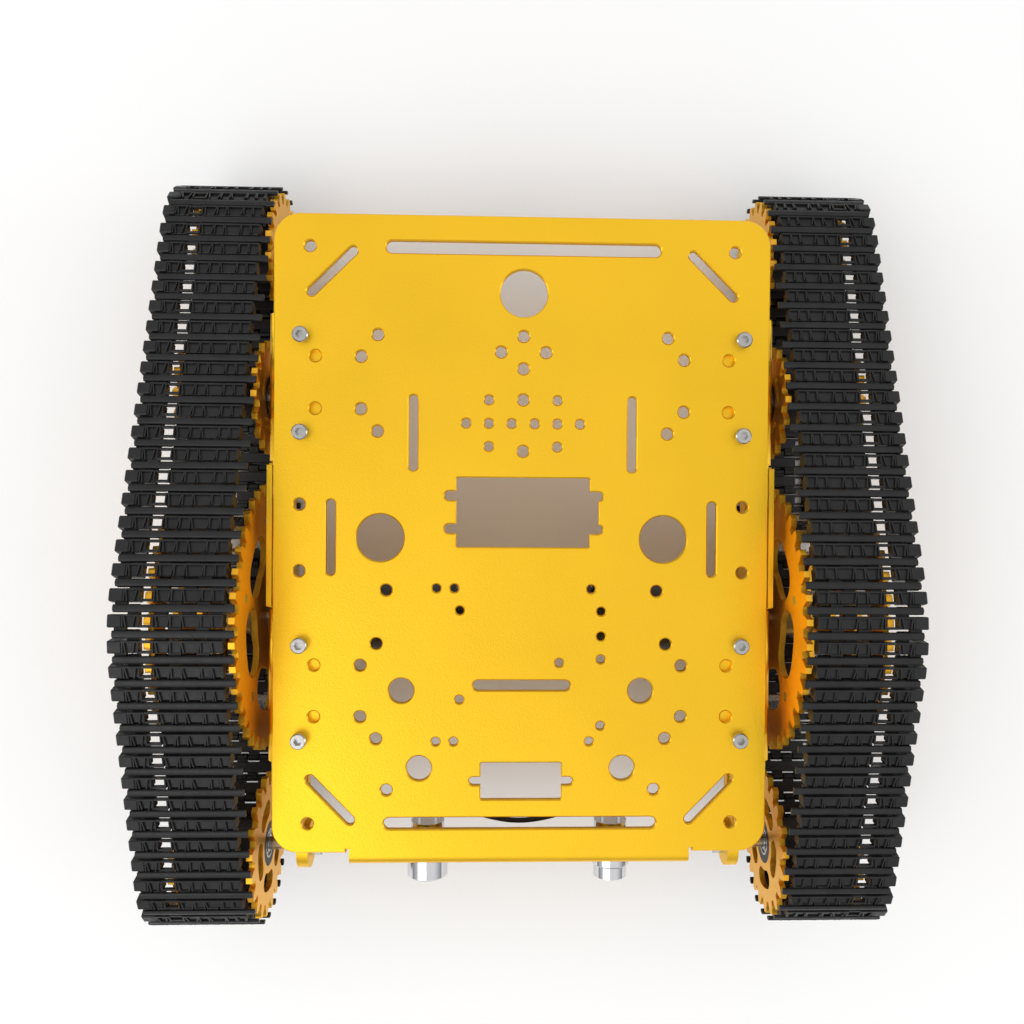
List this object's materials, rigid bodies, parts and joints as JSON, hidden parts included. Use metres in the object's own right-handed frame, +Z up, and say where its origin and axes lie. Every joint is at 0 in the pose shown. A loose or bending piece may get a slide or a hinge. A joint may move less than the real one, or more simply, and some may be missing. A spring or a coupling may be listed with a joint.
{
  "type": "tracked robot chassis",
  "caption": "Tracked robot car chassis: drilled gold deck on side frames, gear motors, toothed wheels and hinged plastic tracks.",
  "frame": {"origin": "on the ground, under the middle of the tracks", "axes": "+Y forward along the tracks, +X to the right, +Z up"},
  "size_m": [0.2278, 0.239, 0.0878],
  "materials": {
    "gold_anodised": "satin, sand-blasted and anodised",
    "track_plastic": "semi-matte moulded",
    "brass": "turned",
    "bright_steel": "nickel plated",
    "black_plastic": "moulded",
    "gearbox_steel": "zinc plated",
    "motor_black": "satin black",
    "chrome": "polished",
    "lead_rubber": "soft insulated wire"
  },
  "bodies": {
    "chassis": {"top_deck": "gold_anodised", "side_frame_right": "gold_anodised", "side_frame_left": "gold_anodised", "rear_arm_right": "gold_anodised", "rear_arm_left": "gold_anodised", "arm_spacers": "bright_steel", "arm_screws": "bright_steel", "deck_screws": "bright_steel", "deck_nuts": "bright_steel", "track_links_right": "track_plastic", "track_links_left": "track_plastic", "track_pins_right": "bright_steel", "track_pins_left": "bright_steel", "front_idler_axles": "bright_steel", "rear_idler_axles": "bright_steel", "top_roller_axles": "bright_steel", "axle_nuts": "bright_steel", "gearbox_right": "gearbox_steel", "gearbox_left": "gearbox_steel", "motor_can_right": "motor_black", "motor_can_left": "motor_black", "encoder_right": "black_plastic", "encoder_left": "black_plastic", "motor_screws": "bright_steel", "power_switch": "chrome", "switch_nut": "chrome", "charge_jack": "chrome", "jack_nut": "chrome", "power_lead": "lead_rubber"},
    "drive_wheel_right": {"drive_disc_inner_right": "gold_anodised", "drive_disc_outer_right": "gold_anodised", "drive_hub_right": "brass", "motor_shaft_right": "bright_steel", "drive_standoffs_right": "bright_steel", "drive_screws_right": "bright_steel"},
    "front_idler_right": {"front_idler_discs_right": "gold_anodised", "front_idler_hub_right": "black_plastic", "front_idler_bearings_right": "bright_steel"},
    "rear_idler_right": {"rear_idler_discs_right": "gold_anodised", "rear_idler_hub_right": "black_plastic", "rear_idler_bearings_right": "bright_steel"},
    "top_roller_right": {"top_roller_discs_right": "gold_anodised", "top_roller_hub_right": "black_plastic", "top_roller_bearings_right": "bright_steel"},
    "drive_wheel_left": {"drive_disc_inner_left": "gold_anodised", "drive_disc_outer_left": "gold_anodised", "drive_hub_left": "brass", "motor_shaft_left": "bright_steel", "drive_standoffs_left": "bright_steel", "drive_screws_left": "bright_steel"},
    "front_idler_left": {"front_idler_discs_left": "gold_anodised", "front_idler_hub_left": "black_plastic", "front_idler_bearings_left": "bright_steel"},
    "rear_idler_left": {"rear_idler_discs_left": "gold_anodised", "rear_idler_hub_left": "black_plastic", "rear_idler_bearings_left": "bright_steel"},
    "top_roller_left": {"top_roller_discs_left": "gold_anodised", "top_roller_hub_left": "black_plastic", "top_roller_bearings_left": "bright_steel"},
    "switch_button": {"switch_button": "chrome"}
  },
  "joints": [
    {"name": "drive_spin_right", "type": "hinge", "parent": "chassis", "child": "drive_wheel_right", "pos_m": [0.091, -0.02215, 0.04398], "axis": [-1, 0, 0], "continuous": true},
    {"name": "front_idler_spin_right", "type": "hinge", "parent": "chassis", "child": "front_idler_right", "pos_m": [0.091, 0.09531, 0.02425], "axis": [-1, 0, 0], "continuous": true},
    {"name": "rear_idler_spin_right", "type": "hinge", "parent": "chassis", "child": "rear_idler_right", "pos_m": [0.091, -0.09536, 0.04398], "axis": [-1, 0, 0], "continuous": true},
    {"name": "top_roller_spin_right", "type": "hinge", "parent": "chassis", "child": "top_roller_right", "pos_m": [0.091, 0.047, 0.04557], "axis": [-1, 0, 0], "continuous": true},
    {"name": "drive_spin_left", "type": "hinge", "parent": "chassis", "child": "drive_wheel_left", "pos_m": [-0.091, -0.02215, 0.04398], "axis": [-1, 0, 0], "continuous": true},
    {"name": "front_idler_spin_left", "type": "hinge", "parent": "chassis", "child": "front_idler_left", "pos_m": [-0.091, 0.09531, 0.02425], "axis": [-1, 0, 0], "continuous": true},
    {"name": "rear_idler_spin_left", "type": "hinge", "parent": "chassis", "child": "rear_idler_left", "pos_m": [-0.091, -0.09536, 0.04398], "axis": [-1, 0, 0], "continuous": true},
    {"name": "top_roller_spin_left", "type": "hinge", "parent": "chassis", "child": "top_roller_left", "pos_m": [-0.091, 0.047, 0.04557], "axis": [-1, 0, 0], "continuous": true},
    {"name": "button_press", "type": "slide", "parent": "chassis", "child": "switch_button", "axis": [0, 1, 0], "range_m": [0, 0.0015], "stiffness_N_per_m": 300}
  ],
  "couplings": [
    {"joint": "front_idler_spin_right", "follows": "drive_spin_right", "ratio": 1.9},
    {"joint": "rear_idler_spin_right", "follows": "drive_spin_right", "ratio": 1.9},
    {"joint": "top_roller_spin_right", "follows": "drive_spin_right", "ratio": 2.375},
    {"joint": "front_idler_spin_left", "follows": "drive_spin_left", "ratio": 1.9},
    {"joint": "rear_idler_spin_left", "follows": "drive_spin_left", "ratio": 1.9},
    {"joint": "top_roller_spin_left", "follows": "drive_spin_left", "ratio": 2.375}
  ]
}
